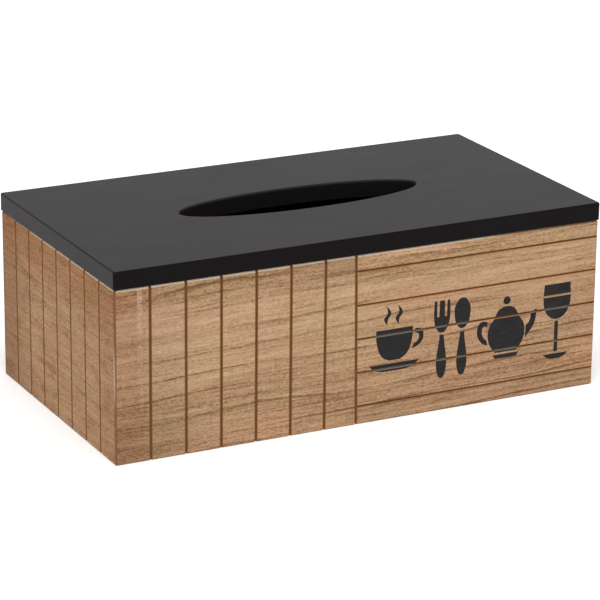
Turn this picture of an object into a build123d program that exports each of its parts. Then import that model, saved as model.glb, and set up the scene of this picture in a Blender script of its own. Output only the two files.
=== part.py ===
"""Napkin box: four mitred boards round a let-in base, and a black lid with a slot that lifts off.

Frame: +Z up, with the origin at the middle of the footprint, on the surface that the box stands on.
The front, scored in two directions, faces -Y, and the left end faces -X. Lengths are millimetres.
"""

import os
from math import radians, tan

from build123d import *

os.makedirs("parts", exist_ok=True)

# Case: four boards that meet in mitres
case_length = 260.0
case_width = 140.0
case_height = 86.0
wall = 9.0
arris_radius = 0.3  # rounding of a board's outer upright edges, beside the mitres
rim_bevel = 1.0  # easing of a board's outer edge along the rim
foot_bevel = 0.5  # easing of a board's outer edge along the foot
overrun = 3.0  # how far cutters run past what they cut

# Scored lines, which make each board look like a row of narrow strips
score_depth = 1.2
score_floor_share = 0.45  # width of a score's floor over the width of its mouth
upright_score_width = 1.45
level_score_width = 1.1

# Front: upright strips up to a divider that leans a little, then level strips
first_strip = 17.8
strip_pitch = 18.2
strip_scores = 6
last_strip_foot = 17.3
last_strip_top = 16.2
level_foot_margin = 9.1
level_top_margin = 8.4
level_scores = 5

# Ends and back: upright strips all along
end_margin = 18.25
end_scores = 7
back_margin = 18.5
back_scores = 13

# Base, a thin sheet held in a groove of the boards
base_thickness = 4.0
base_lift = 5.0
base_tongue = 4.0
base_play = 0.3
base_headroom = 0.2

# Splines, thin strips let across the mitres
spline_thickness = 2.0
spline_width = 6.0
spline_from_inside = 3.0
spline_above_base = 4.0
spline_below_rim = 12.0
glue_gap = 0.05

# Lid board and its oval slot
lid_thickness = 9.0
lid_overhang = 0.5
lid_top_ease = 0.7
lid_corner_extra = 0.5  # how much rounder the corners are in plan than the top edge
lid_under_ease = 0.5
slot_length = 130.0
slot_width = 35.0

# Battens under the lid, which keep it between the walls
batten_width = 10.0
batten_height = 8.0
batten_play = 1.0
batten_end_gap = 0.5
batten_lead = 1.5

# Countersunk screws that hold the battens
screw_diameter = 3.0
screw_head_diameter = 5.6
screw_head_angle = 90.0
screw_cover = 4.0  # lid left over the screw's point
screw_point = 2.0
screw_play = 0.05
screw_margin = 18.0
long_batten_screws = 3
end_batten_screws = 2
drive_length = 3.2
drive_width = 0.8
drive_depth = 1.3

# Worked-out sizes
inner_length = case_length - 2 * wall
inner_width = case_width - 2 * wall
spline_foot = base_lift + base_thickness + base_headroom + spline_above_base
spline_height = case_height - spline_below_rim - spline_foot
batten_foot = case_height - batten_height
long_batten_length = inner_length - 2 * batten_play
end_batten_length = inner_width - 2 * (batten_play + batten_width + batten_end_gap)
long_batten_place = inner_width / 2 - batten_play - batten_width / 2
end_batten_place = inner_length / 2 - batten_play - batten_width / 2
screw_length = batten_height + lid_thickness - screw_cover
screw_head_height = (screw_head_diameter - screw_diameter) / 2 / tan(radians(screw_head_angle / 2))
quarter_turn = 90.0
mitre_angle = quarter_turn / 2

# Each board stands on its own plane: x along the board, y inwards from its outer face
up = (0, 0, 1)
front = Plane(origin=(0, -case_width / 2, 0), x_dir=(1, 0, 0), z_dir=up)
back = Plane(origin=(0, case_width / 2, 0), x_dir=(-1, 0, 0), z_dir=up)
left = Plane(origin=(-case_length / 2, 0, 0), x_dir=(0, -1, 0), z_dir=up)
right = Plane(origin=(case_length / 2, 0, 0), x_dir=(0, 1, 0), z_dir=up)


def section_plane(side):
    """The plane across a board at its middle: x inwards from the outer face, y up."""
    return Plane(origin=side.origin, x_dir=side.y_dir, z_dir=side.x_dir)


def score_outline(width):
    """Section of a scored line: its mouth is on the x axis, and it cuts towards +y."""
    mouth = width / 2
    floor = mouth * score_floor_share
    return [
        (-mouth, -overrun),
        (mouth, -overrun),
        (mouth, 0),
        (floor, score_depth),
        (-floor, score_depth),
        (-mouth, 0),
    ]


def spread(length, margin, count):
    """Places of a row of count points, centred on zero, that ends a margin short of a length."""
    step = (length - 2 * margin) / (count - 1)
    return [margin - length / 2 + step * number for number in range(count)]


def mitred_board(side, length):
    """A board before it is scored, with its base groove and the slots for its splines."""
    half = length / 2
    with BuildPart() as board:
        with BuildSketch(side) as plan:
            Polygon((-half, 0), (half, 0), (half - wall, wall), (wall - half, wall))
            fillet(plan.vertices().group_by(Axis.Y)[0], radius=arris_radius)
        extrude(amount=case_height)

        # Outer edges along the rim and the foot
        out = -overrun
        top = case_height + overrun
        rim_cut = rim_bevel + overrun
        foot_cut = foot_bevel + overrun
        with BuildSketch(section_plane(side)):
            Polygon((out, case_height - rim_cut), (rim_cut, top), (out, top))
            Polygon((out, foot_cut), (out, out), (foot_cut, out))
        extrude(amount=half, both=True, mode=Mode.SUBTRACT)

        # Groove for the base
        with BuildSketch(side.offset(base_lift)):
            with Locations((0, wall)):
                Rectangle(length, 2 * base_tongue)
        extrude(amount=base_thickness + base_headroom, mode=Mode.SUBTRACT)

        # Slots across both mitres
        with BuildSketch(side.offset(spline_foot)):
            for end in (-1, 1):
                with Locations((end * (half - wall + spline_from_inside), wall - spline_from_inside)):
                    Rectangle(
                        spline_thickness + 2 * glue_gap,
                        spline_width + 2 * glue_gap,
                        rotation=-end * mitre_angle,
                    )
        extrude(amount=spline_height + glue_gap, mode=Mode.SUBTRACT)
    return board.part


def scored_board(side, length, places):
    """A board with upright scores from foot to rim at the given places along it."""
    with BuildPart() as board:
        add(mitred_board(side, length))
        with BuildSketch(side.offset(-overrun)):
            with Locations(*[(place, 0) for place in places]):
                Polygon(*score_outline(upright_score_width))
        extrude(amount=case_height + 2 * overrun, mode=Mode.SUBTRACT)
    return board.part


# Front board: upright strips, the leaning divider, and level strips to the right end
first_score = first_strip - case_length / 2
front_places = [first_score + strip_pitch * number for number in range(strip_scores)]
divider_foot = front_places[-1] + last_strip_foot
divider_top = front_places[-1] + last_strip_top
divider_middle = (divider_foot + divider_top) / 2
divider_lean = (divider_top - divider_foot) / case_height
level_step = (case_height - level_foot_margin - level_top_margin) / (level_scores - 1)
level_places = [level_foot_margin + level_step * number for number in range(level_scores)]
with BuildPart() as front_panel:
    add(scored_board(front, case_length, front_places))
    with BuildSketch(front.offset(-overrun)):
        with Locations((divider_foot - divider_lean * overrun, 0)):
            Polygon(*score_outline(upright_score_width))
    with BuildSketch(front.offset(case_height + overrun)):
        with Locations((divider_top + divider_lean * overrun, 0)):
            Polygon(*score_outline(upright_score_width))
    loft(ruled=True, mode=Mode.SUBTRACT)
    with BuildSketch(section_plane(front).offset(divider_middle)):
        with Locations(*[(0, height) for height in level_places]):
            Polygon(*score_outline(level_score_width), rotation=-quarter_turn)
    extrude(amount=case_length / 2 - divider_middle + overrun, mode=Mode.SUBTRACT)
front_panel.part.label = "front_panel"
export_step(front_panel.part, "parts/front_panel.step")

# Back board and end boards
with BuildPart() as back_panel:
    add(scored_board(back, case_length, spread(case_length, back_margin, back_scores)))
back_panel.part.label = "back_panel"
export_step(back_panel.part, "parts/back_panel.step")

for name, side in {"left_panel": left, "right_panel": right}.items():
    with BuildPart() as end_panel:
        add(scored_board(side, case_width, spread(case_width, end_margin, end_scores)))
    end_panel.part.label = name
    export_step(end_panel.part, f"parts/{name}.step")

# Base, with its edges in the boards' grooves
base_reach = 2 * (base_tongue - base_play)
with BuildPart() as base_panel:
    with BuildSketch(Plane.XY.offset(base_lift)):
        Rectangle(inner_length + base_reach, inner_width + base_reach)
    extrude(amount=base_thickness)
base_panel.part.label = "base_panel"
export_step(base_panel.part, "parts/base_panel.step")

# Splines, one in each mitre
corners = {
    "front_left": (-1, -1),
    "front_right": (1, -1),
    "back_left": (-1, 1),
    "back_right": (1, 1),
}
for corner, (along, across) in corners.items():
    with BuildPart() as corner_spline:
        with BuildSketch(Plane.XY.offset(spline_foot)):
            with Locations(
                (
                    along * (inner_length / 2 + spline_from_inside),
                    across * (inner_width / 2 + spline_from_inside),
                )
            ):
                Rectangle(spline_thickness, spline_width, rotation=along * across * mitre_angle)
        extrude(amount=spline_height)
    corner_spline.part.label = f"corner_spline_{corner}"
    export_step(corner_spline.part, f"parts/corner_spline_{corner}.step")

# Battens: their middles, their sizes in plan and their screws' places
long_spread = spread(long_batten_length, screw_margin, long_batten_screws)
end_spread = spread(end_batten_length, screw_margin, end_batten_screws)
long_plan = (long_batten_length, batten_width)
end_plan = (batten_width, end_batten_length)
battens = {
    "front": ((0, -long_batten_place), long_plan, [(x, -long_batten_place) for x in long_spread]),
    "back": ((0, long_batten_place), long_plan, [(x, long_batten_place) for x in long_spread]),
    "left": ((-end_batten_place, 0), end_plan, [(-end_batten_place, y) for y in end_spread]),
    "right": ((end_batten_place, 0), end_plan, [(end_batten_place, y) for y in end_spread]),
}
screw_places = [place for middle, plan, places in battens.values() for place in places]


def drilled_from_below(places, height):
    """Where holes start that are drilled upwards from a height."""
    return [Plane(origin=(x, y, height), z_dir=(0, 0, -1)).location for x, y in places]


for name, (middle, plan, places) in battens.items():
    with BuildPart() as lid_batten:
        with BuildSketch(Plane.XY.offset(batten_foot)):
            with Locations(middle):
                Rectangle(*plan)
        extrude(amount=batten_height)
        chamfer(lid_batten.faces().sort_by(Axis.Z)[0].edges(), length=batten_lead)
        with Locations(*drilled_from_below(places, batten_foot)):
            CounterSinkHole(
                radius=screw_diameter / 2 + screw_play,
                counter_sink_radius=screw_head_diameter / 2 + screw_play,
                counter_sink_angle=screw_head_angle,
            )
    lid_batten.part.label = f"lid_batten_{name}"
    export_step(lid_batten.part, f"parts/lid_batten_{name}.step")

# Lid board, with its slot and the screws' pilot holes
with BuildPart() as lid_panel:
    with BuildSketch(Plane.XY.offset(case_height)):
        RectangleRounded(
            case_length + 2 * lid_overhang,
            case_width + 2 * lid_overhang,
            lid_top_ease + lid_corner_extra,
        )
        Ellipse(slot_length / 2, slot_width / 2, mode=Mode.SUBTRACT)
    extrude(amount=lid_thickness)
    fillet(lid_panel.faces().sort_by(Axis.Z)[-1].edges(), radius=lid_top_ease)
    fillet(lid_panel.faces().sort_by(Axis.Z)[0].edges(), radius=lid_under_ease)
    with Locations(*drilled_from_below(screw_places, case_height)):
        Hole(radius=screw_diameter / 2 + screw_play, depth=lid_thickness - screw_cover + screw_play)
lid_panel.part.label = "lid_panel"
export_step(lid_panel.part, "parts/lid_panel.step")

# Screws: one is turned about its axis, with a cross drive in its head, and copied to every place
with BuildPart() as screw:
    with BuildSketch(Plane.XZ):
        Polygon(
            (0, 0),
            (screw_head_diameter / 2, 0),
            (screw_diameter / 2, screw_head_height),
            (screw_diameter / 2, screw_length - screw_point),
            (0, screw_length),
        )
    revolve(axis=Axis.Z)
    with BuildSketch():
        Rectangle(drive_length, drive_width)
        Rectangle(drive_width, drive_length)
    extrude(amount=drive_depth, mode=Mode.SUBTRACT)

with BuildPart() as batten_screws:
    with Locations(*[(x, y, batten_foot) for x, y in screw_places]):
        add(screw.part)
batten_screws.part.label = "batten_screws"
export_step(batten_screws.part, "parts/batten_screws.step")
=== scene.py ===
"""Looks of the napkin box: scored wooden walls, a black lacquered lid and a printed front."""

import math

import bmesh
import bpy
from mathutils import Matrix, Vector


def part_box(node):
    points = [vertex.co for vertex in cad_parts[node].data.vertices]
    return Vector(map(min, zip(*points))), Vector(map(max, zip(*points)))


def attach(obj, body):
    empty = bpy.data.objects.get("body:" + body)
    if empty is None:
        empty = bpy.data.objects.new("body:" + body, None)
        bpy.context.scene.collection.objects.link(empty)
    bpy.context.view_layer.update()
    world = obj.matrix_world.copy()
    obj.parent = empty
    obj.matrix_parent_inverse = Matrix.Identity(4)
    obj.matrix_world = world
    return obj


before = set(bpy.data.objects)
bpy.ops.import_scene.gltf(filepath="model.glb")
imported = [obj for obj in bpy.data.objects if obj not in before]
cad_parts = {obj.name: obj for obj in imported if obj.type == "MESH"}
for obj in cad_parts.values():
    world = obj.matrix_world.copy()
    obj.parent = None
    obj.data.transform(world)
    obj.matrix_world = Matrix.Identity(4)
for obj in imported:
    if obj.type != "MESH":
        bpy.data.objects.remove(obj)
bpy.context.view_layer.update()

MM = 0.001
QUARTER = math.pi / 2
scene = bpy.context.scene
scene.view_settings.view_transform = "Standard"

# Sizes of the box that the looks follow, in metres
FRONT_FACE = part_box("front_panel")[0].y
END_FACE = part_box("left_panel")[0].x
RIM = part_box("front_panel")[1].z
HALF_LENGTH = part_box("front_panel")[1].x
HALF_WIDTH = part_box("left_panel")[1].y
WALL = 9 * MM
LID_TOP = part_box("lid_panel")[1].z
SLOT_HALF = (65 * MM, 17.5 * MM)
FIRST_SCORE, SCORE_PITCH = -112.2 * MM, 18.2 * MM
DIVIDER_FOOT, DIVIDER_TOP = -3.9 * MM, -5.0 * MM
LEVEL_FOOT, LEVEL_PITCH = 9.1 * MM, 17.125 * MM
END_PITCH = 17.25 * MM
BACK_PITCH = 18.583 * MM
LEVEL_SCORES = tuple(LEVEL_FOOT + number * LEVEL_PITCH for number in range(5))
PRINT_SCORES = LEVEL_SCORES[1:3]  # the two that cross the print
LEVEL_START = 0.62 * MM  # from the divider's middle to the start of the level scores
SCORE_DEPTH = 1.2 * MM
LEVEL_MOUTH, LEVEL_FLOOR = 0.55 * MM, 0.2475 * MM  # half of a level score's width, at the face and inside
RIM_BEVEL = 1.0 * MM


# Node helpers

def put(tree, kind, inputs=None, **settings):
    """Adds a node, sets it, and links or sets its inputs."""
    made = tree.nodes.new(kind)
    for key, value in settings.items():
        setattr(made, key, value)
    for key, value in (inputs or {}).items():
        if isinstance(value, bpy.types.NodeSocket):
            tree.links.new(value, made.inputs[key])
        else:
            made.inputs[key].default_value = value
    return made


def sums(tree, operation, *values):
    """A Math node's result."""
    return put(tree, "ShaderNodeMath", dict(enumerate(values)), operation=operation).outputs[0]


def weighted_sum(tree, start, *terms):
    """Start plus each (value, weight) term."""
    total = start
    for value, weight in terms:
        total = sums(tree, "MULTIPLY_ADD", value, weight, total)
    return total


def fade(tree, value, start, end, low=0.0, high=1.0):
    """Goes smoothly from low at start to high at end."""
    inputs = {"Value": value, "From Min": start, "From Max": end, "To Min": low, "To Max": high}
    return put(tree, "ShaderNodeMapRange", inputs, interpolation_type="SMOOTHSTEP").outputs["Result"]


def blend_colours(tree, factor, first, second, way="MIX"):
    """A colour Mix node's result."""
    inputs = {0: factor, 6: first, 7: second}
    return put(tree, "ShaderNodeMix", inputs, data_type="RGBA", blend_type=way).outputs[2]


def stretched_noise(tree, place, scale, shift=(0, 0, 0), detail=0.0):
    """Noise whose grains are one over scale long in each direction."""
    moved = put(tree, "ShaderNodeMapping", {"Vector": place, "Scale": scale, "Location": shift})
    inputs = {"Vector": moved.outputs[0], "Scale": 1.0, "Detail": detail}
    return put(tree, "ShaderNodeTexNoise", inputs).outputs["Fac"]


def ramp(tree, value, stops):
    """A colour ramp with (position, colour) stops."""
    made = put(tree, "ShaderNodeValToRGB", {"Fac": value})
    elements = made.color_ramp.elements
    while len(elements) > 1:
        elements.remove(elements[-1])
    elements[0].position, elements[0].color = stops[0][0], (*stops[0][1], 1)
    for position, colour in stops[1:]:
        elements.new(position).color = (*colour, 1)
    return made.outputs["Color"]


def grey_ramp(tree, value, stops):
    """A ramp of plain values."""
    return ramp(tree, value, [(position, (level, level, level)) for position, level in stops])


def new_group(name, inputs, outputs):
    """A shader node group with its input and output nodes."""
    group = bpy.data.node_groups.new(name, "ShaderNodeTree")
    for label, kind in inputs:
        group.interface.new_socket(label, in_out="INPUT", socket_type=kind)
    for label, kind in outputs:
        group.interface.new_socket(label, in_out="OUTPUT", socket_type=kind)
    return group, group.nodes.new("NodeGroupInput").outputs, group.nodes.new("NodeGroupOutput").inputs


def new_material(name, **constants):
    """A material, its tree and its Principled BSDF, with the constants set on the shader."""
    made = bpy.data.materials.new(name)
    made.use_nodes = True
    shader = made.node_tree.nodes["Principled BSDF"]
    for key, value in constants.items():
        shader.inputs[key.replace("_", " ")].default_value = value
    return made, made.node_tree, shader


def dress(node, material):
    """Gives a CAD node its finish."""
    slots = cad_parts[node].data.materials
    slots.clear()
    slots.append(material)


VECTOR, VALUE = "NodeSocketVector", "NodeSocketFloat"


# Shared effects

def make_board_grain():
    """Straight wood grain along the place's first direction: growth lines, fibres, flecks and pores."""
    group, given, result = new_group(
        "board_grain",
        [("Place", VECTOR), ("Seed", VALUE), ("Line Strength", VALUE), ("Fleck Strength", VALUE)],
        [("Tone", VALUE), ("Warmth", VALUE), ("Height", VALUE)],
    )
    seed = put(group, "ShaderNodeCombineXYZ", {"Y": given["Seed"]}).outputs[0]
    place = put(group, "ShaderNodeVectorMath", {0: given["Place"], 1: seed}, operation="ADD").outputs[0]
    depth = put(group, "ShaderNodeSeparateXYZ", {"Vector": given["Place"]}).outputs["Y"]

    # The growth layers slope through the board, climb a little along it, wander, sway and tremble
    parts = put(group, "ShaderNodeSeparateXYZ", {"Vector": place}).outputs
    wander = stretched_noise(group, place, (13, 20, 20), detail=1.0)
    sway = stretched_noise(group, place, (36, 30, 60), (0.7, 0, 0.2))
    tremble = stretched_noise(group, place, (95, 60, 120), (0.1, 0, 0.6))
    level = weighted_sum(
        group,
        parts["Z"],
        (parts["X"], -0.014),
        (depth, 1.2),
        (wander, 4 * MM),
        (sway, 0.9 * MM),
        (tremble, 0.5 * MM),
    )
    run = put(group, "ShaderNodeCombineXYZ", {"X": parts["X"], "Y": parts["Y"], "Z": level}).outputs[0]

    broad = stretched_noise(group, run, (6, 25, 95), (0.3, 0, 0.7), detail=1.0)
    belts = stretched_noise(group, run, (20, 60, 290), (0.1, 0, 0.2), detail=1.0)
    fibres = stretched_noise(group, run, (40, 150, 1200), (0.9, 0, 0.1))
    flecks = stretched_noise(group, run, (300, 450, 1250), (0.5, 0, 0.8))
    specks = stretched_noise(group, run, (650, 800, 1250), (0.3, 0, 0.6))
    pores = fade(group, stretched_noise(group, run, (280, 400, 1350), (0.2, 0, 0.5)), 0.56, 0.76)

    # A growth line is a soft darkening that ends in a thin brown line, broken along the board
    drift = stretched_noise(group, run, (7, 20, 45), (0.6, 0, 0.4), detail=1.0)
    count = sums(group, "MULTIPLY", level, 95)
    count = weighted_sum(group, count, (drift, 1.4), (belts, 0.10), (flecks, 0.04))
    ring = sums(group, "FRACT", count)
    ending = fade(group, ring, 1.0, 0.955)
    soft = sums(group, "MULTIPLY", fade(group, ring, 0.45, 0.96), ending)
    thin = sums(group, "MULTIPLY", fade(group, ring, 0.84, 0.94), ending)
    present = stretched_noise(group, run, (12, 40, 100), (0.4, 0, 0.9), detail=1.5)
    broken = stretched_noise(group, run, (70, 150, 300), (0.8, 0, 0.1))
    thin = sums(group, "MULTIPLY", thin, fade(group, present, 0.38, 0.62, 0.1, 1.0))
    thin = sums(group, "MULTIPLY", thin, fade(group, broken, 0.3, 0.7, 0.5, 1.3))

    # Finer lines lie between them
    count = sums(group, "MULTIPLY", level, 240)
    count = weighted_sum(group, count, (drift, 3.0), (belts, 0.2), (flecks, 0.06))
    between = fade(group, sums(group, "PINGPONG", count, 0.5), 0.17, 0.02)
    shown = stretched_noise(group, run, (13, 40, 150), (0.2, 0, 0.3), detail=1.5)
    between = sums(group, "MULTIPLY", between, fade(group, shown, 0.43, 0.64))
    lines = weighted_sum(group, thin, (soft, 0.22), (between, 0.50))

    fine = weighted_sum(group, -0.585, (fibres, 0.40), (flecks, 0.28), (specks, 0.52), (pores, -0.10))
    tone = weighted_sum(group, -0.245, (broad, 0.13), (belts, 0.40), (fine, given["Fleck Strength"]))
    tone = sums(group, "SUBTRACT", tone, sums(group, "MULTIPLY", lines, given["Line Strength"]))
    group.links.new(tone, result["Tone"])

    warmth = stretched_noise(group, place, (28, 40, 75), (0.8, 0, 0.3), detail=2.0)
    group.links.new(fade(group, warmth, 0.35, 0.68), result["Warmth"])

    height = weighted_sum(group, fibres, (flecks, 0.4), (pores, -0.8), (thin, -0.4))
    group.links.new(height, result["Height"])
    return group


def make_black_film():
    """A thin black coat over wood: faint unevenness of clouds, brushed streaks and fine specks."""
    group, given, result = new_group(
        "black_film",
        [("Place", VECTOR), ("Seed", VALUE)],
        [("Unevenness", VALUE), ("Height", VALUE)],
    )
    seed = put(group, "ShaderNodeCombineXYZ", {"Z": given["Seed"]}).outputs[0]
    place = put(group, "ShaderNodeVectorMath", {0: given["Place"], 1: seed}, operation="ADD").outputs[0]
    clouds = stretched_noise(group, place, (28, 60, 60), detail=3.0)
    brushed = stretched_noise(group, place, (40, 900, 900), (0.4, 0.2, 0.6), detail=1.0)
    specks = stretched_noise(group, place, (1500, 1500, 1500), (0.1, 0.7, 0.3))
    uneven = sums(group, "MULTIPLY_ADD", brushed, 0.15, sums(group, "MULTIPLY", clouds, 0.35))
    uneven = sums(group, "MULTIPLY_ADD", specks, 0.50, uneven)
    group.links.new(uneven, result["Unevenness"])
    height = sums(group, "MULTIPLY_ADD", brushed, 0.6, sums(group, "MULTIPLY", specks, 0.4))
    group.links.new(height, result["Height"])
    return group


board_grain = make_board_grain()
black_film = make_black_film()


# Finishes

WOOD = (
    (0.00, (0.166, 0.085, 0.040)),
    (0.25, (0.263, 0.147, 0.076)),
    (0.50, (0.395, 0.244, 0.140)),
    (0.80, (0.506, 0.334, 0.203)),
    (1.00, (0.585, 0.406, 0.256)),
)
BARE_WOOD = (0.89, 0.74, 0.57, 1)
# Painted shade: darkens the rim's bevel where the lid's overhang would shade it
RIM_SHADE_UNDER_LID = (0.86, 0.83, 0.80, 1)
BURNT_UPRIGHT = (0.224, 0.105, 0.040, 1)
BURNT_LEVEL = (0.335, 0.157, 0.062, 1)
BROWNED_EDGE = (0.70, 0.60, 0.48, 1)
SHADED_END = (0.72, 0.71, 0.70, 1)
RED_CORNER = (0.91, 0.825, 0.80, 1)
AMBER_WOOD = (0.885, 0.765, 0.66, 1)
PINK_PATCH = (1.02, 0.98, 0.985, 1)
KHAKI_PATCH = (0.985, 1.012, 0.985, 1)
PALE_FLECK = (0.52, 0.365, 0.235, 1)
DARK_SEAM = (0.20, 0.095, 0.055, 1)
WORN_WOOD = (0.60, 0.44, 0.31, 1)
RAGGED = 14 * MM  # how far the edge of a corner's shade wanders
RED_REACH = (20 * MM, 10 * MM)
AMBER_RISE, AMBER_PATCHES = (0.68, 0.93), (0.48, 0.30)
SEAM_REACH = (0.42 * MM, 0.17 * MM)
SEAM_RISE = (15 * MM, 60 * MM, 0.6, 1.0)
WORN_REACH = (1.7 * MM, 0.9 * MM)
WORN_RISE = 19 * MM
BLACK_STAIN = ((0.1, (0.0075, 0.0070, 0.0066)), (0.9, (0.023, 0.0214, 0.0200)))
# Tint of the lid's faint sheen: a painted reflection, standing in for a warm surround
WARM_REFLECTION_TINT = (1.0, 0.62, 0.64, 1)
CUT_EDGE = (0.0045, 0.0042, 0.0038, 1)
WORN_EDGE = (0.019, 0.0178, 0.0165, 1)


def board_axes(tree, turn, depth):
    """Where a point is on a board, whole and apart: along it, in from its outer face, and up."""
    where = put(tree, "ShaderNodeTexCoord").outputs["Object"]
    layout = {"Vector": where, "Location": (0, depth, 0), "Rotation": (0, 0, turn)}
    place = put(tree, "ShaderNodeMapping", layout).outputs[0]
    parts = put(tree, "ShaderNodeSeparateXYZ", {"Vector": place}).outputs
    return place, parts["X"], parts["Y"], parts["Z"]


def shade_ends(tree, colour, ends, up, waver, look):
    """Darkens the wood towards some corners, more so lower down, and reddens it beside them."""
    ragged = sums(tree, "MULTIPLY_ADD", waver, RAGGED, -RAGGED / 2)
    downward = fade(tree, up, *look["shade_rise"])
    for distance, redness, shade in zip(ends, look["red_ends"], look["shaded_ends"]):
        reach = sums(tree, "ADD", distance, ragged)
        shaded = sums(tree, "MULTIPLY", fade(tree, reach, *look["shade_reach"], 0.0, shade), downward)
        colour = blend_colours(tree, shaded, colour, SHADED_END, "MULTIPLY")
        reach = sums(tree, "MULTIPLY_ADD", ragged, 0.4, distance)
        reddened = fade(tree, reach, *RED_REACH, 0.0, redness)
        colour = blend_colours(tree, reddened, colour, RED_CORNER, "MULTIPLY")
    return colour


def cut_scores(tree, colour, edge, level_score, inward, waver):
    """Scores burnt brown, level ones unevenly, with browned edges."""
    colour = blend_colours(tree, edge, colour, BROWNED_EDGE, "MULTIPLY")
    lightly = sums(tree, "MULTIPLY", level_score, fade(tree, waver, 0.30, 0.70, 0.45, 1.0))
    burnt = blend_colours(tree, lightly, BURNT_UPRIGHT, BURNT_LEVEL)
    cut = sums(tree, "MULTIPLY", fade(tree, inward, 0.02 * MM, 0.25 * MM), fade(tree, edge, 0.1, 0.25))
    return blend_colours(tree, cut, colour, burnt)


def bare_edges(tree, colour, tone, edge, along, inward, up, look):
    """An eased rim, bare and pale for part of its length and darkened with painted shade under the lid's
    overhang elsewhere, and sawn wood deeper in than the scores.
    """
    shade = grey_ramp(tree, tone, ((0, 0.75), (1, 1.1)))
    pale = blend_colours(tree, 1.0, BARE_WOOD, shade, "MULTIPLY")
    # Painted shade under the lid's overhang, on the rim's bevel where it isn't bare
    shaded_rim = blend_colours(tree, 1.0, colour, RIM_SHADE_UNDER_LID, "MULTIPLY")
    eased = blend_colours(tree, fade(tree, along, *look["bare_rim"], 0.0, 0.86), shaded_rim, pale)
    start = RIM - RIM_BEVEL
    rim = fade(tree, up, start - 0.15 * MM, start + 0.15 * MM)
    rim = sums(tree, "MULTIPLY", rim, fade(tree, edge, 0.9, 0.3))
    colour = blend_colours(tree, rim, colour, eased)
    sawn = blend_colours(tree, 0.22, ramp(tree, sums(tree, "ADD", tone, 0.20), WOOD), BARE_WOOD)
    deeper = fade(tree, inward, SCORE_DEPTH + 0.05 * MM, SCORE_DEPTH + 0.25 * MM)
    return blend_colours(tree, deeper, colour, sawn)


def mitre_seams(tree, colour, ends, inward, up, look):
    """Thin seams where two boards meet, darkest high up, some with worn, pale wood beside them."""
    upward = fade(tree, up, *SEAM_RISE)
    for distance, strength, worn_height in zip(ends, look["seams"], look["worn"]):
        joint = sums(tree, "SUBTRACT", distance, inward)
        if worn_height:
            apart = sums(tree, "ABSOLUTE", sums(tree, "SUBTRACT", up, worn_height))
            worn = fade(tree, apart, WORN_RISE, 0.2 * WORN_RISE)
            worn = sums(tree, "MULTIPLY", worn, fade(tree, joint, *WORN_REACH, 0.0, 0.75))
            colour = blend_colours(tree, worn, colour, WORN_WOOD)
        seam = sums(tree, "MULTIPLY", fade(tree, joint, *SEAM_REACH, 0.0, strength), upward)
        colour = blend_colours(tree, seam, colour, DARK_SEAM)
    return colour


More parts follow.
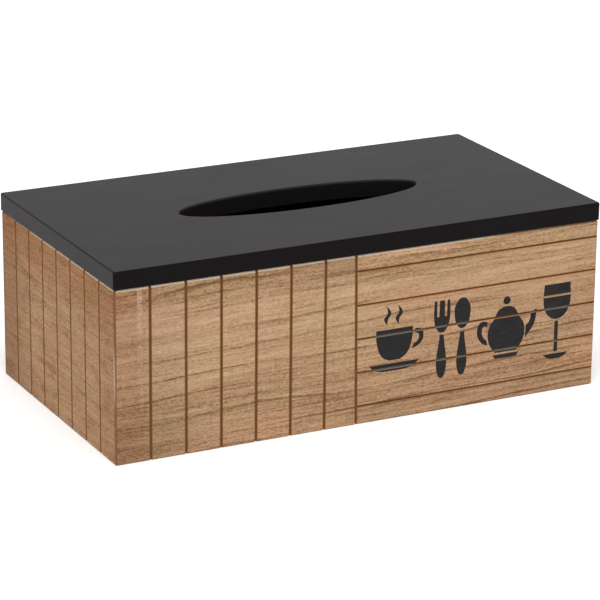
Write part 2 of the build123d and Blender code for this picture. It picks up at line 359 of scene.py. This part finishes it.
def make_wall_wood(name, turn, depth, half_length, look, find_scores):
    """A board's wood, laid out as (along the board, in from its outer face, up)."""
    seed = look["seed"]
    made, tree, shader = new_material(name, Specular_IOR_Level=0.1)
    place, along, inward, up = board_axes(tree, turn, depth)
    ends = (sums(tree, "ADD", along, half_length), sums(tree, "SUBTRACT", half_length, along))
    grain = put(tree, "ShaderNodeGroup", {}, node_tree=board_grain)
    tree.links.new(place, grain.inputs["Place"])
    grain.inputs["Seed"].default_value = seed
    grain.inputs["Fleck Strength"].default_value = look["flecks"]

    # Broad bands of tone up the board, with a wavering edge, and stronger lines in the dark ones
    waver = stretched_noise(tree, place, (14, 10, 40), (seed, 0, 0), detail=1.0)
    height_share = weighted_sum(tree, -0.05, (up, 1 / RIM), (along, -look["tilt"] / RIM), (waver, 0.10))
    band = grey_ramp(tree, height_share, look["bands"])
    in_dark = sums(tree, "MULTIPLY_ADD", band, -1.2, 1.6)
    tree.links.new(sums(tree, "MULTIPLY", in_dark, look["lines"]), grain.inputs["Line Strength"])
    mottle = stretched_noise(tree, place, (90, 50, 170), (seed, 0, 0.5), detail=1.0)
    start = sums(tree, "ADD", band, -0.5 * look["mottle"])
    tone = weighted_sum(tree, start, (grain.outputs["Tone"], 1.0), (mottle, look["mottle"]))

    # Pinker and greener patches, the board's own cast, and an amber top and patches
    colour = ramp(tree, tone, WOOD)
    patch = blend_colours(tree, grain.outputs["Warmth"], KHAKI_PATCH, PINK_PATCH)
    colour = blend_colours(tree, 1.0, colour, patch, "MULTIPLY")
    colour = blend_colours(tree, 1.0, colour, look["cast"], "MULTIPLY")
    patchy = fade(tree, waver, 0.25, 0.65, 0.3, 1.0)
    amber_top = fade(tree, height_share, *AMBER_RISE, 0.0, look["amber_top"])
    amber_top = sums(tree, "MULTIPLY", amber_top, patchy)
    amber_patches = fade(tree, mottle, *AMBER_PATCHES, 0.0, 2 * look["mottle"])
    amber = sums(tree, "MAXIMUM", amber_top, amber_patches)
    colour = blend_colours(tree, amber, colour, AMBER_WOOD, "MULTIPLY")
    colour = shade_ends(tree, colour, ends, up, waver, look)
    if "marks" in look:
        colour = look["marks"](tree, colour, place, along, up, seed)

    # Scores, edges and mitres, and the inside stained black
    edge, level_score = find_scores(tree, along, up)
    outer = fade(tree, inward, SCORE_DEPTH + 0.4 * MM, SCORE_DEPTH + 0.1 * MM)
    edge = sums(tree, "MULTIPLY", edge, outer)
    colour = cut_scores(tree, colour, edge, level_score, inward, waver)
    colour = bare_edges(tree, colour, tone, edge, along, inward, up, look)
    colour = mitre_seams(tree, colour, ends, inward, up, look)
    stained = fade(tree, inward, WALL - 0.25 * MM, WALL - 0.1 * MM)
    colour = blend_colours(tree, stained, colour, ramp(tree, tone, BLACK_STAIN))
    tree.links.new(colour, shader.inputs["Base Color"])

    tree.links.new(fade(tree, tone, 0.1, 0.9, 0.86, 0.72), shader.inputs["Roughness"])
    relief = {"Strength": 0.25, "Distance": 0.05 * MM, "Height": grain.outputs["Height"]}
    tree.links.new(put(tree, "ShaderNodeBump", relief).outputs[0], shader.inputs["Normal"])
    return made


# Browning beside a score, from nothing this far off its middle to its full strength nearer by
UPRIGHT_BROWN = (1.15 * MM, 0.45 * MM)
LEVEL_BROWN = (1.10 * MM, 0.35 * MM)


def upright_edges(first, pitch):
    """Finds the browned edges beside upright scores, a pitch apart, from one at first."""
    def found(tree, along, up):
        near = sums(tree, "PINGPONG", sums(tree, "SUBTRACT", along, first), pitch / 2)
        return fade(tree, near, *UPRIGHT_BROWN), 0.0
    return found


def front_edges(tree, along, up):
    """The same for the front: upright scores up to the leaning divider, and where level ones follow."""
    lean = sums(tree, "MULTIPLY_ADD", up, (DIVIDER_TOP - DIVIDER_FOOT) / RIM, DIVIDER_FOOT)
    past = sums(tree, "SUBTRACT", along, lean)
    right = sums(tree, "GREATER_THAN", past, LEVEL_START)
    upright = upright_edges(FIRST_SCORE, SCORE_PITCH)(tree, along, up)[0]
    upright = sums(tree, "MULTIPLY", upright, sums(tree, "LESS_THAN", past, -SCORE_PITCH / 2))
    divider = fade(tree, sums(tree, "ABSOLUTE", past), *UPRIGHT_BROWN)
    near = sums(tree, "PINGPONG", sums(tree, "SUBTRACT", up, LEVEL_FOOT), LEVEL_PITCH / 2)
    level = sums(tree, "MULTIPLY", fade(tree, near, *LEVEL_BROWN, 0.0, 0.58), right)
    return sums(tree, "MAXIMUM", sums(tree, "MAXIMUM", upright, divider), level), right


FLECK_COLUMN = -117.5 * MM
FLECK_REACH = (1.7 * MM, 0.7 * MM)
THICK_FLECKS, SPARSE_FLECKS = (60 * MM, 68 * MM), (20 * MM, 34 * MM)
TOP_BAND = (74 * MM, 79 * MM)
DEEP_BY_DIVIDER, PALE_BY_CORNER = (-42 * MM, -12 * MM), (-78 * MM, -108 * MM)
PALE_FOOT_STRIP = -48.5 * MM
PALE_FOOT_REACH, PALE_FOOT_HEIGHT = (SCORE_PITCH / 2, 7.5 * MM), (10 * MM, 7 * MM)
PALE_TOP_START, PALE_TOP_END = (DIVIDER_TOP, 4 * MM), (115 * MM, 75 * MM)
PALE_RIGHT_END = (90 * MM, 118 * MM)
DARK_FOOT_START = (-28 * MM, 0)
PALER = (1.10, 1.09, 1.08, 1)
DARKER = (0.87, 0.855, 0.85, 1)
DEEPER = (0.83, 0.835, 0.82, 1)
WARMER = (0.955, 0.925, 0.915, 1)
KNOT = (48.3 * MM, 8.2 * MM)
KNOT_HALF = (1.7 * MM, 0.9 * MM)


def fleck_column(tree, colour, place, along, up, seed):
    """A column of pale dashes up the first strip, thick near the top and sparse lower down."""
    aside = sums(tree, "ABSOLUTE", sums(tree, "SUBTRACT", along, FLECK_COLUMN))
    dashes = stretched_noise(tree, place, (300, 120, 620), (0.2, 0, seed), detail=1.0)
    thick = fade(tree, dashes, 0.36, 0.60, 0.15, 0.55)
    thick = sums(tree, "MULTIPLY", thick, fade(tree, up, *THICK_FLECKS))
    sparse = fade(tree, dashes, 0.52, 0.64, 0.05, 0.55)
    sparse = sums(tree, "MULTIPLY", sparse, fade(tree, up, *SPARSE_FLECKS))
    flecked = sums(tree, "MAXIMUM", thick, sparse)
    flecked = sums(tree, "MULTIPLY", flecked, fade(tree, aside, *FLECK_REACH))
    return blend_colours(tree, flecked, colour, PALE_FLECK)


def upright_strip_tones(tree, colour, along, up, upright_side):
    """A top band, deepest by the divider and palest by the corner, and one strip's pale foot."""
    top_band = sums(tree, "MULTIPLY", upright_side, fade(tree, up, *TOP_BAND))
    by_divider = sums(tree, "MULTIPLY", top_band, fade(tree, along, *DEEP_BY_DIVIDER))
    colour = blend_colours(tree, by_divider, colour, DEEPER, "MULTIPLY")
    by_corner = sums(tree, "MULTIPLY", top_band, fade(tree, along, *PALE_BY_CORNER))
    aside = sums(tree, "ABSOLUTE", sums(tree, "SUBTRACT", along, PALE_FOOT_STRIP))
    foot = fade(tree, aside, *PALE_FOOT_REACH)
    foot = sums(tree, "MULTIPLY", foot, fade(tree, up, *PALE_FOOT_HEIGHT))
    return blend_colours(tree, sums(tree, "MAXIMUM", by_corner, foot), colour, PALER, "MULTIPLY")


def level_strip_tones(tree, colour, along, up, upright_side):
    """A paler top strip, two warmer ones below it, one with a paler right end and a darker foot."""
    top_strip = sums(tree, "GREATER_THAN", up, LEVEL_SCORES[4])
    paler = sums(tree, "MULTIPLY", top_strip, fade(tree, along, *PALE_TOP_START))
    paler = sums(tree, "MULTIPLY", paler, fade(tree, along, *PALE_TOP_END))
    colour = blend_colours(tree, paler, colour, PALER, "MULTIPLY")

    upper_strips = sums(tree, "GREATER_THAN", up, LEVEL_SCORES[2])
    warmer = sums(tree, "SUBTRACT", sums(tree, "SUBTRACT", upper_strips, top_strip), upright_side)
    colour = blend_colours(tree, sums(tree, "MAXIMUM", warmer, 0), colour, WARMER, "MULTIPLY")

    foot_strip = sums(tree, "LESS_THAN", up, LEVEL_SCORES[0])
    second_strip = sums(tree, "SUBTRACT", sums(tree, "LESS_THAN", up, LEVEL_SCORES[1]), foot_strip)
    paler = sums(tree, "MULTIPLY", second_strip, fade(tree, along, *PALE_RIGHT_END))
    colour = blend_colours(tree, paler, colour, PALER, "MULTIPLY")
    darker = sums(tree, "MULTIPLY", foot_strip, fade(tree, along, *DARK_FOOT_START))
    return blend_colours(tree, darker, colour, DARKER, "MULTIPLY")


def dark_knot(tree, colour, place):
    """A small knot in the foot of the level strips."""
    across, rise = KNOT_HALF
    layout = {
        "Vector": place,
        "Location": (-KNOT[0] / across, 0, -KNOT[1] / rise),
        "Scale": (1 / across, 0, 1 / rise),
    }
    shares = put(tree, "ShaderNodeMapping", layout).outputs[0]
    reach = put(tree, "ShaderNodeVectorMath", {0: shares}, operation="LENGTH").outputs["Value"]
    return blend_colours(tree, fade(tree, reach, 1.1, 0.4, 0.0, 0.85), colour, DARK_SEAM)


def front_marks(tree, colour, place, along, up, seed):
    """What only the front's wood has: pale flecks, strips of other tones and a knot."""
    upright_side = sums(tree, "LESS_THAN", along, DIVIDER_TOP)
    colour = fleck_column(tree, colour, place, along, up, seed)
    colour = upright_strip_tones(tree, colour, along, up, upright_side)
    colour = level_strip_tones(tree, colour, along, up, upright_side)
    return dark_knot(tree, colour, place)


# How far a corner's shade reaches along a board, and how it grows from a height down to a lower one
CORNER_REACH, STRIP_REACH = (52 * MM, 24 * MM), (44 * MM, 12 * MM)
NEAR_FOOT, BELOW_TOP = (36 * MM, 3 * MM, 0.5, 1.0), (90 * MM, 55 * MM, 0.0, 1.0)
NOT_WORN = None

FRONT_LOOK = {
    "seed": 0.31,
    "lines": 0.32,
    "flecks": 1.0,
    "tilt": 0.035,
    "cast": (1.0, 1.0, 1.0, 1),
    "bands": (
        (0.0, 0.52), (0.05, 0.51), (0.15, 0.40), (0.35, 0.49), (0.5, 0.56), (0.66, 0.64), (0.82, 0.62),
        (0.90, 0.46), (1.0, 0.43),
    ),
    "red_ends": (1.0, 0.35),
    "shaded_ends": (0.7, 0.1),
    "shade_reach": CORNER_REACH,
    "shade_rise": NEAR_FOOT,
    "mottle": 0.0,
    "seams": (0.85, 0.2),
    "worn": (NOT_WORN, NOT_WORN),
    "bare_rim": (84 * MM, 56 * MM),
    "amber_top": 0.0,
    "marks": front_marks,
}
LEFT_LOOK = {
    "seed": 8.2,
    "lines": 0.05,
    "flecks": 1.2,
    "tilt": 0.0,
    "cast": (0.91, 0.84, 0.785, 1),
    "bands": ((0.0, 0.56), (0.3, 0.58), (0.6, 0.57), (0.8, 0.50), (0.92, 0.46), (1.0, 0.48)),
    "red_ends": (0.8, 0.6),
    "shaded_ends": (0.63, 0.0),
    "shade_reach": STRIP_REACH,
    "shade_rise": BELOW_TOP,
    "mottle": 0.3,
    "seams": (0.3, 0.85),
    "worn": (NOT_WORN, 44 * MM),
    "bare_rim": (-74 * MM, -14 * MM),
    "amber_top": 1.0,
}
BACK_LOOK = {
    "seed": 4.7,
    "lines": 0.30,
    "flecks": 1.0,
    "tilt": -0.02,
    "cast": (1.0, 0.985, 0.97, 1),
    "bands": ((0.0, 0.42), (0.25, 0.52), (0.5, 0.58), (0.7, 0.48), (0.85, 0.56), (1.0, 0.44)),
    "red_ends": (0.6, 0.9),
    "shaded_ends": (0.2, 0.42),
    "shade_reach": CORNER_REACH,
    "shade_rise": NEAR_FOOT,
    "mottle": 0.0,
    "seams": (0.7, 0.6),
    "worn": (30 * MM, NOT_WORN),
    "bare_rim": (-110 * MM, -60 * MM),
    "amber_top": 0.2,
}
RIGHT_LOOK = {
    "seed": 12.6,
    "lines": 0.08,
    "flecks": 0.9,
    "tilt": 0.02,
    "cast": (0.94, 0.86, 0.79, 1),
    "bands": ((0.0, 0.45), (0.2, 0.54), (0.45, 0.48), (0.75, 0.57), (1.0, 0.42)),
    "red_ends": (0.5, 0.8),
    "shaded_ends": (0.2, 0.2),
    "shade_reach": STRIP_REACH,
    "shade_rise": BELOW_TOP,
    "mottle": 0.25,
    "seams": (0.5, 0.7),
    "worn": (NOT_WORN, 25 * MM),
    "bare_rim": (55 * MM, 10 * MM),
    "amber_top": 0.6,
}

back_edges = upright_edges(0, BACK_PITCH)
end_edges = upright_edges(0, END_PITCH)
dress("front_panel", make_wall_wood(
    "wall_wood_front", 0, -FRONT_FACE, HALF_LENGTH, FRONT_LOOK, front_edges))
dress("back_panel", make_wall_wood(
    "wall_wood_back", 2 * QUARTER, -FRONT_FACE, HALF_LENGTH, BACK_LOOK, back_edges))
dress("left_panel", make_wall_wood(
    "wall_wood_left", QUARTER, -END_FACE, HALF_WIDTH, LEFT_LOOK, end_edges))
dress("right_panel", make_wall_wood(
    "wall_wood_right", -QUARTER, -END_FACE, HALF_WIDTH, RIGHT_LOOK, end_edges))


def make_spline_wood():
    """Bare, pale strips let into the mitres."""
    made, tree, shader = new_material("spline_wood", Specular_IOR_Level=0.3)
    where = put(tree, "ShaderNodeTexCoord").outputs["Object"]
    upright = put(tree, "ShaderNodeMapping", {"Vector": where, "Rotation": (0, QUARTER, 0)}).outputs[0]
    grain = put(tree, "ShaderNodeGroup", {}, node_tree=board_grain)
    tree.links.new(upright, grain.inputs["Place"])
    grain.inputs["Seed"].default_value = 2.4
    grain.inputs["Line Strength"].default_value = 0.1
    grain.inputs["Fleck Strength"].default_value = 1.0
    tone = sums(tree, "ADD", grain.outputs["Tone"], 0.5)
    colour = blend_colours(tree, 0.5, ramp(tree, tone, WOOD), BARE_WOOD)
    tree.links.new(colour, shader.inputs["Base Color"])
    tree.links.new(fade(tree, tone, 0.1, 0.9, 0.8, 0.66), shader.inputs["Roughness"])
    relief = {"Strength": 0.3, "Distance": 0.05 * MM, "Height": grain.outputs["Height"]}
    tree.links.new(put(tree, "ShaderNodeBump", relief).outputs[0], shader.inputs["Normal"])
    return made


def make_black(name, seed, colours, roughnesses, relief, gloss, painted_reflection=0.0, find_cut=None):
    """A black coat on wood, from satin lacquer to matt paint, thinner and duller on a cut edge, with an
    optional faint warm sheen that is a painted reflection.
    """
    made, tree, shader = new_material(
        name, Specular_IOR_Level=gloss, Sheen_Weight=painted_reflection, Sheen_Tint=WARM_REFLECTION_TINT)
    where = put(tree, "ShaderNodeTexCoord").outputs["Object"]
    film = put(tree, "ShaderNodeGroup", {}, node_tree=black_film)
    tree.links.new(where, film.inputs["Place"])
    film.inputs["Seed"].default_value = seed
    uneven = film.outputs["Unevenness"]
    colour = ramp(tree, uneven, tuple(zip((0.3, 0.7), colours)))
    roughness = fade(tree, uneven, 0.3, 0.7, *roughnesses)
    if find_cut:
        cut, tint = find_cut(tree, where)
        colour = blend_colours(tree, cut, colour, tint)
        roughness = sums(tree, "MAXIMUM", roughness, sums(tree, "MULTIPLY", cut, 0.6))
    tree.links.new(colour, shader.inputs["Base Color"])
    tree.links.new(roughness, shader.inputs["Roughness"])
    felt = {"Strength": 0.25, "Distance": relief, "Height": film.outputs["Height"]}
    tree.links.new(put(tree, "ShaderNodeBump", felt).outputs[0], shader.inputs["Normal"])
    return made


def slot_wall(tree, where):
    """Where the lid's slot cuts through the board, and its tint there, worn near the upper arris."""
    parts = put(tree, "ShaderNodeSeparateXYZ", {"Vector": where}).outputs
    across = put(tree, "ShaderNodeCombineXYZ", {"X": parts["X"], "Y": parts["Y"]}).outputs[0]
    scale = (1 / SLOT_HALF[0], 1 / SLOT_HALF[1], 1)
    shares = put(tree, "ShaderNodeMapping", {"Vector": across, "Scale": scale}).outputs[0]
    reach = put(tree, "ShaderNodeVectorMath", {0: shares}, operation="LENGTH").outputs["Value"]
    below = fade(tree, parts["Z"], LID_TOP - 0.05 * MM, LID_TOP - 0.35 * MM)
    worn = fade(tree, parts["Z"], LID_TOP - 1.3 * MM, LID_TOP - 0.3 * MM)
    tint = blend_colours(tree, worn, CUT_EDGE, WORN_EDGE)
    return sums(tree, "MULTIPLY", sums(tree, "LESS_THAN", reach, 1.02), below), tint


def make_screw_steel():
    """Zinc plated steel, faintly clouded."""
    made, tree, shader = new_material("screw_steel", Metallic=1.0)
    where = put(tree, "ShaderNodeTexCoord").outputs["Object"]
    clouds = stretched_noise(tree, where, (900, 900, 900), detail=2.0)
    colour = ramp(tree, clouds, ((0.3, (0.44, 0.44, 0.43)), (0.7, (0.62, 0.62, 0.63))))
    tree.links.new(colour, shader.inputs["Base Color"])
    tree.links.new(fade(tree, clouds, 0.3, 0.7, 0.28, 0.42), shader.inputs["Roughness"])
    return made


spline_wood = make_spline_wood()
for corner in ("front_left", "front_right", "back_left", "back_right"):
    dress("corner_spline_" + corner, spline_wood)
LACQUER = ((0.0022, 0.0015, 0.0016), (0.0036, 0.0026, 0.0027))
BATTEN_PAINT = ((0.009, 0.009, 0.009), (0.018, 0.0175, 0.017))
BASE_STAIN = ((0.012, 0.0115, 0.011), (0.026, 0.0245, 0.023))
# The lid's faint warm sheen is a painted reflection of a warm surround
dress("lid_panel", make_black(
    "lid_lacquer", seed=0.0, colours=LACQUER, roughnesses=(0.28, 0.36), relief=0.01 * MM, gloss=0.100,
    painted_reflection=0.022, find_cut=slot_wall))
batten_paint = make_black(
    "batten_paint", seed=3.1, colours=BATTEN_PAINT, roughnesses=(0.62, 0.78), relief=0.05 * MM, gloss=0.3)
for side in ("front", "back", "left", "right"):
    dress("lid_batten_" + side, batten_paint)
dress("base_panel", make_black(
    "base_stain", seed=6.4, colours=BASE_STAIN, roughnesses=(0.7, 0.85), relief=0.04 * MM, gloss=0.25))
dress("batten_screws", make_screw_steel())


# Printed front

INK = (
    (0.38, (0.0125, 0.0120, 0.0125)),
    (0.66, (0.0240, 0.0215, 0.0205)),
    (0.78, (0.0620, 0.0460, 0.0360)),
)
THIN_INK = (0.30, 0.262, 0.216, 1)


def print_ink():
    """Charcoal ink, thinner in patches and in the scores."""
    made, tree, shader = new_material("print_ink", Specular_IOR_Level=0.15)
    where = put(tree, "ShaderNodeTexCoord").outputs["Object"]
    thin = stretched_noise(tree, where, (120, 400, 1500), detail=2.0)
    depth = put(tree, "ShaderNodeSeparateXYZ", {"Vector": where}).outputs["Y"]
    in_score = fade(tree, depth, FRONT_FACE + 0.05 * MM, FRONT_FACE + 0.3 * MM)
    colour = blend_colours(tree, in_score, ramp(tree, thin, INK), THIN_INK)
    tree.links.new(colour, shader.inputs["Base Color"])
    tree.links.new(fade(tree, thin, 0.3, 0.75, 0.55, 0.75), shader.inputs["Roughness"])
    bump = put(tree, "ShaderNodeBump", {"Strength": 0.2, "Distance": 0.03 * MM, "Height": thin})
    tree.links.new(bump.outputs[0], shader.inputs["Normal"])
    return made


# Each motif is a stencil of closed outlines in millimetres, across and up from its middle.
# A point is (across, up) for a corner, or (across, up, 1) where the line runs on smoothly.
CUP = (
    ((-9.5, 8.6), (8.5, 8.6), (8.2, 3.2, 1), (5.6, -3.4, 1),
     (2.2, -5.6), (-3.2, -5.6), (-6.6, -3.4, 1), (-9.2, 3.2, 1)),
    ((9.7, 7.4), (12.6, 6.8, 1), (13.8, 3.8, 1), (12.2, 0.2, 1), (8.2, -1.8),
     (8.9, 0.4), (11.0, 1.7, 1), (11.6, 3.8, 1), (11.0, 5.0, 1), (9.5, 5.4)),
    ((-12.6, -7.0), (11.6, -7.0), (9.4, -9.2, 1), (5.0, -10.4), (-6.0, -10.4), (-10.4, -9.2, 1)),
    ((-4.2, 10.6), (-5.7, 13.4, 1), (-4.0, 16.0, 1), (-4.6, 19.4), (-2.3, 15.8, 1), (-3.8, 13.2, 1)),
    ((1.4, 10.6), (-0.1, 13.4, 1), (1.6, 16.0, 1), (1.0, 19.4), (3.3, 15.8, 1), (1.8, 13.2, 1)),
)
STALK = ((-1.0, 2.4), (1.0, 2.4), (1.9, -15.4, 1), (0.0, -17.6, 1), (-1.9, -15.4, 1))
FORK = (
    ((-3.8, 18.0), (-2.6, 18.0), (-2.4, 10.6), (-1.4, 10.6), (-1.2, 18.0), (1.2, 18.0),
     (1.4, 10.6), (2.4, 10.6), (2.6, 18.0), (3.8, 18.0), (3.9, 9.6, 1), (2.8, 5.6, 1),
     (1.0, 3.4), (-1.0, 3.4), (-2.8, 5.6, 1), (-3.9, 9.6, 1)),
    STALK,
)
SPOON = (
    ((0.0, 18.0, 1), (3.4, 15.0, 1), (3.9, 10.2, 1), (2.3, 5.4, 1),
     (0.0, 3.9, 1), (-2.3, 5.4, 1), (-3.9, 10.2, 1), (-3.4, 15.0, 1)),
    STALK,
)
TEAPOT = (
    ((-6.2, 5.6), (6.2, 5.6), (8.9, 1.6, 1), (8.7, -5.2, 1),
     (5.4, -10.2), (-5.4, -10.2), (-8.7, -5.2, 1), (-8.9, 1.6, 1)),
    ((-5.8, 6.7), (5.8, 6.7), (3.8, 9.6, 1), (1.3, 10.7), (-1.3, 10.7), (-3.8, 9.6, 1)),
    ((0.0, 15.2, 1), (1.8, 13.4, 1), (0.0, 11.6, 1), (-1.8, 13.4, 1)),
    ((9.9, 0.4), (11.7, 2.2, 1), (12.4, 6.4), (15.4, 7.6), (14.2, 1.0, 1), (9.8, -5.0)),
    ((-9.5, 4.8), (-13.0, 5.0, 1), (-14.8, 0.8, 1), (-12.8, -4.2, 1), (-9.5, -6.2),
     (-9.8, -3.8), (-11.4, -2.4, 1), (-12.4, 0.8, 1), (-11.6, 2.8, 1), (-9.8, 2.6)),
    ((-6.6, -11.2), (6.6, -11.2), (5.2, -13.0), (-5.2, -13.0)),
)
GLASS = (
    ((-6.6, 17.6), (6.6, 17.6), (7.0, 12.6), (-7.0, 12.6)),
    ((-7.1, 11.6), (7.1, 11.6), (6.4, 6.6, 1), (3.6, 2.4, 1),
     (0.0, 1.2, 1), (-3.6, 2.4, 1), (-6.4, 6.6, 1)),
    ((-0.9, 0.2), (0.9, 0.2), (0.9, -14.0), (-0.9, -14.0)),
    ((-6.4, -15.0), (6.4, -15.0), (4.4, -16.6, 1), (2.2, -17.4), (-2.2, -17.4), (-4.4, -16.6, 1)),
)
PRINT = ((CUP, 17.0), (FORK, 42.6), (SPOON, 54.0), (TEAPOT, 79.0), (GLASS, 107.8))
PRINT_SCALE = 1.12
PRINT_MIDDLE = 36.4 * MM
FILM = 0.05 * MM
CURVE_STEPS = 8
WELD = 0.004 * MM
ON_CUT = 1e-7  # nearer to a cut than this, in metres, a point lies on it


def flat_curve(motif, middle):
    """The motif's outlines as one flat, filled curve with the film's thickness."""
    drawn = bpy.data.curves.new("motif", "CURVE")
    drawn.dimensions = "2D"
    drawn.fill_mode = "BOTH"
    drawn.resolution_u = CURVE_STEPS
    drawn.extrude = FILM
    for outline in motif:
        spline = drawn.splines.new("BEZIER")
        spline.bezier_points.add(len(outline) - 1)
        spline.use_cyclic_u = True
        for point, (across, up, *smooth) in zip(spline.bezier_points, outline):
            point.co = ((across * PRINT_SCALE + middle) * MM, up * PRINT_SCALE * MM, 0)
            kind = "AUTO" if smooth else "VECTOR"
            point.handle_left_type = point.handle_right_type = kind
    return drawn


def follow_scores(shape):
    """Lets the film down along the walls and floor of the level scores that cross it."""
    for score in PRINT_SCORES:
        for offset in (-LEVEL_MOUTH, -LEVEL_FLOOR, LEVEL_FLOOR, LEVEL_MOUTH):
            everything = shape.verts[:] + shape.edges[:] + shape.faces[:]
            line = (0, 0, score + offset)
            bmesh.ops.bisect_plane(shape, geom=everything, dist=ON_CUT, plane_co=line, plane_no=(0, 0, 1))
        for vert in shape.verts:
            share = (LEVEL_MOUTH - abs(vert.co.z - score)) / (LEVEL_MOUTH - LEVEL_FLOOR)
            if share > 0:
                sunk = SCORE_DEPTH * min(share, 1)
                bmesh.ops.translate(shape, verts=[vert], vec=(0, sunk, 0))


def make_print():
    """The charcoal row of table things on the level strips."""
    shape = bmesh.new()
    for motif, middle in PRINT:
        drawn = flat_curve(motif, middle)
        carrier = bpy.data.objects.new("motif", drawn)
        scene.collection.objects.link(carrier)
        bpy.context.view_layer.update()
        finished = carrier.evaluated_get(bpy.context.evaluated_depsgraph_get())
        flat = bpy.data.meshes.new_from_object(finished)
        shape.from_mesh(flat)
        bpy.data.objects.remove(carrier)
        bpy.data.curves.remove(drawn)
        bpy.data.meshes.remove(flat)
    bmesh.ops.remove_doubles(shape, verts=shape.verts, dist=WELD)
    stand_up = Matrix.Translation((0, FRONT_FACE, PRINT_MIDDLE)) @ Matrix.Rotation(QUARTER, 4, "X")
    bmesh.ops.transform(shape, matrix=stand_up, verts=shape.verts)
    follow_scores(shape)
    bmesh.ops.recalc_face_normals(shape, faces=shape.faces)
    mesh = bpy.data.meshes.new("front_print")
    shape.to_mesh(mesh)
    shape.free()
    mesh.materials.append(print_ink())
    piece = bpy.data.objects.new("front_print", mesh)
    scene.collection.objects.link(piece)
    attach(piece, "box")


make_print()


# Studio and camera

FLOOR_HALF = 6.0
FLOOR_DROP = 0.05 * MM
KEY_STRENGTH = 2.3
KEY_SPREAD = math.radians(45)
KEY_SIDE, KEY_RISE = math.radians(-25), math.radians(60)
SURROUND_LIGHT, SURROUND_SHOWN = 0.72, 1.05
VIEW_SIDE, VIEW_RISE, VIEW_ROLL = math.radians(-27.011), math.radians(18.608), math.radians(0.566)
VIEW_DISTANCE = 1498.6 * MM
AIM_HEIGHT, AIM_RIGHT, AIM_DOWN = 45 * MM, 0.70 * MM, 3.20 * MM
SENSOR, LENS = 36, 180.22  # in millimetres, as the camera takes them
CLIP = (0.05, 50)


def from_angles(side, rise):
    """The direction out from the box at an angle round it from the front, and an angle up."""
    return Vector((math.sin(side) * math.cos(rise), -math.cos(side) * math.cos(rise), math.sin(rise)))


def make_floor():
    """A plain white floor just under the box, which throws back a little less light than it shows."""
    shape = bmesh.new()
    bmesh.ops.create_grid(shape, x_segments=1, y_segments=1, size=FLOOR_HALF)
    bmesh.ops.translate(shape, verts=shape.verts, vec=(0, 0, -FLOOR_DROP))
    mesh = bpy.data.meshes.new("floor")
    shape.to_mesh(mesh)
    shape.free()
    made, tree, shader = new_material("floor_paper", Roughness=0.9, Specular_IOR_Level=0.1)
    where = put(tree, "ShaderNodeTexCoord").outputs["Object"]
    cloud = stretched_noise(tree, where, (3, 3, 3), detail=2.0)
    paper = grey_ramp(tree, cloud, ((0.3, 0.69), (0.7, 0.72)))
    shown = grey_ramp(tree, cloud, ((0.3, 0.91), (0.7, 0.93)))
    seen = put(tree, "ShaderNodeLightPath").outputs["Is Camera Ray"]
    tree.links.new(blend_colours(tree, seen, paper, shown), shader.inputs["Base Color"])
    mesh.materials.append(made)
    floor = bpy.data.objects.new("floor", mesh)
    scene.collection.objects.link(floor)


def make_light():
    """A white surround and one broad soft light from the front left, high up."""
    surround = bpy.data.worlds.new("studio")
    scene.world = surround
    surround.use_nodes = True
    tree = surround.node_tree
    backdrop = tree.nodes["Background"]
    backdrop.inputs["Color"].default_value = (1, 1, 1, 1)
    seen = put(tree, "ShaderNodeLightPath").outputs["Is Camera Ray"]
    strengths = {"Value": seen, "To Min": SURROUND_LIGHT, "To Max": SURROUND_SHOWN}
    strength = put(tree, "ShaderNodeMapRange", strengths)
    tree.links.new(strength.outputs["Result"], backdrop.inputs["Strength"])

    key = bpy.data.lights.new("key", "SUN")
    key.energy = KEY_STRENGTH
    key.angle = KEY_SPREAD
    lamp = bpy.data.objects.new("key", key)
    source = from_angles(KEY_SIDE, KEY_RISE)
    lamp.rotation_mode = "QUATERNION"
    lamp.rotation_quaternion = source.to_track_quat("Z", "Y")
    scene.collection.objects.link(lamp)


def make_camera():
    """The photograph's view: from the front left, a little above, with a long lens."""
    back = from_angles(VIEW_SIDE, VIEW_RISE)
    level = Vector((math.cos(VIEW_SIDE), math.sin(VIEW_SIDE), 0))
    upright = back.cross(level)
    right = level * math.cos(VIEW_ROLL) + upright * math.sin(VIEW_ROLL)
    up = upright * math.cos(VIEW_ROLL) - level * math.sin(VIEW_ROLL)
    aim = Vector((0, 0, AIM_HEIGHT)) + right * AIM_RIGHT - up * AIM_DOWN
    lens = bpy.data.cameras.new("camera")
    lens.sensor_width = SENSOR
    lens.lens = LENS
    lens.clip_start, lens.clip_end = CLIP
    camera = bpy.data.objects.new("camera", lens)
    turned = Matrix((right, up, back)).transposed().to_4x4()
    camera.matrix_world = Matrix.Translation(aim + back * VIEW_DISTANCE) @ turned
    scene.collection.objects.link(camera)
    scene.camera = camera


make_floor()
make_light()
make_camera()
